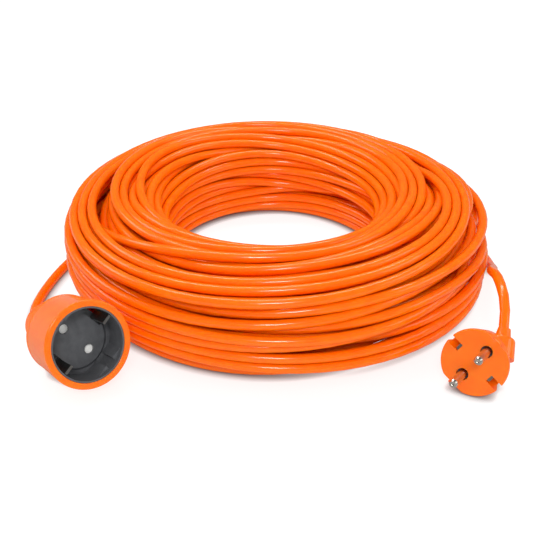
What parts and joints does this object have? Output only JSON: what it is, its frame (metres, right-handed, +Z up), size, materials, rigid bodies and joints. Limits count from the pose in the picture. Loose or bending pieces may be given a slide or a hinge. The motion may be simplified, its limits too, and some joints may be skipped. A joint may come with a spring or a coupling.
{
  "type": "extension cord",
  "caption": "Orange mains extension cord lying in a loose round coil, with a round earthed plug at one end and a round earthed shuttered socket at the other.",
  "frame": {"origin": "on the floor, at the bottom centre of the box round the plug and the socket", "axes": "+Z up, +X from the socket towards the plug, +Y from plug and socket towards the coil behind them"},
  "size_m": [0.2951, 0.2958, 0.062],
  "materials": {
    "cord_sheath": "soft gloss",
    "orange_moulding": "soft gloss",
    "dark_insert": "satin",
    "shutter_white": "satin",
    "contact_brass": "bright",
    "earth_spring": "satin, plated",
    "plated_pin": "bright, nickel plated",
    "core_brown": "satin",
    "core_blue": "satin",
    "core_green_yellow": "satin"
  },
  "bodies": {
    "cord_set": {"socket_front_shell": "orange_moulding", "socket_rear_cover": "orange_moulding", "socket_insert": "dark_insert", "socket_contact_carrier": "dark_insert", "socket_contact_live": "contact_brass", "socket_contact_neutral": "contact_brass", "socket_earth_bracket": "earth_spring", "socket_shutter_spring": "earth_spring", "socket_strain_relief": "orange_moulding", "socket_wire_live": "core_brown", "socket_wire_neutral": "core_blue", "socket_wire_earth": "core_green_yellow", "plug_body": "orange_moulding", "plug_bridge": "dark_insert", "plug_pin_live": "plated_pin", "plug_pin_neutral": "plated_pin", "plug_earth_strip": "earth_spring", "plug_strain_relief": "orange_moulding", "plug_wire_live": "core_brown", "plug_wire_neutral": "core_blue", "plug_wire_earth": "core_green_yellow", "cord_coil": "cord_sheath", "cord_socket_lead": "cord_sheath", "cord_plug_lead": "cord_sheath"},
    "shutter": {"socket_shutter": "shutter_white"}
  },
  "joints": [
    {"name": "shutter_slide", "type": "slide", "parent": "cord_set", "child": "shutter", "axis": [0.5621, 0.6004, 0.5688], "range_m": [0, 0.0065], "stiffness_N_per_m": 150, "springref_m": -0.004, "deforming": ["socket_shutter_spring"]}
  ]
}
